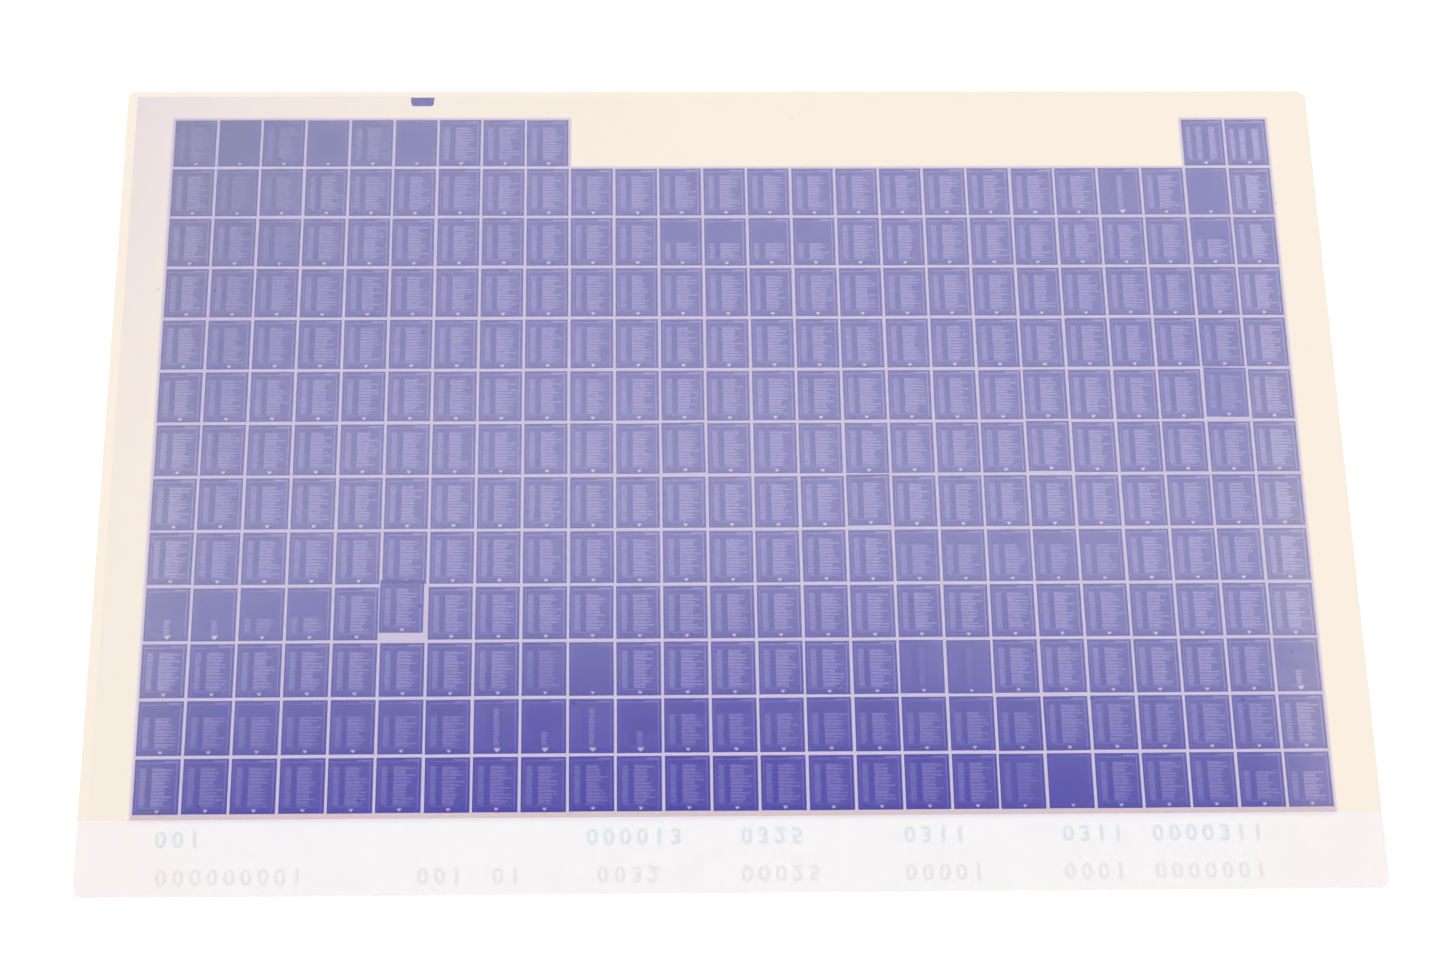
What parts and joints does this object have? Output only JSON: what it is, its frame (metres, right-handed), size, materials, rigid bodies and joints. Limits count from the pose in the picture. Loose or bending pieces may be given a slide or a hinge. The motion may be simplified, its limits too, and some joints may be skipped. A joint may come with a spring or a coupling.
{
  "type": "microfiche",
  "caption": "Flat microfiche: clear film sheet with a grid of blue page images, a white heading stripe along one long edge and rounded corners.",
  "frame": {"origin": "middle of the sheet's underside, the image coat that it lies on", "axes": "+X along the long side, +Y across the sheet away from the heading stripe, +Z out of the backing coat, up when it lies image side down"},
  "size_m": [0.148, 0.105, 0.0002],
  "materials": {
    "clear_film": "clear polyester, faintly cream",
    "clear_coat": "clear lacquer with a faint haze",
    "page_dye": "transparent blue-violet dye in lacquer",
    "title_dye": "pale blue dye in lacquer",
    "dark_dye": "full-strength blue-violet dye",
    "white_stripe": "satin white stripe coating"
  },
  "bodies": {
    "root": {"backing_coat": "clear_coat", "clear_image_coat": "clear_coat", "cut_mark": "dark_dye", "film_base": "clear_film", "heading_stripe": "white_stripe", "index_page_images": "page_dye", "page_images_row_a": "page_dye", "page_images_row_b": "page_dye", "page_images_row_c": "page_dye", "page_images_row_d": "page_dye", "page_images_row_e": "page_dye", "page_images_row_f": "page_dye", "page_images_row_g": "page_dye", "page_images_row_h": "page_dye", "page_images_row_i": "page_dye", "page_images_row_j": "page_dye", "page_images_row_k": "page_dye", "page_images_row_l": "page_dye", "page_images_row_m": "page_dye", "title_line_inner": "title_dye", "title_line_outer": "title_dye"}
  },
  "joints": []
}
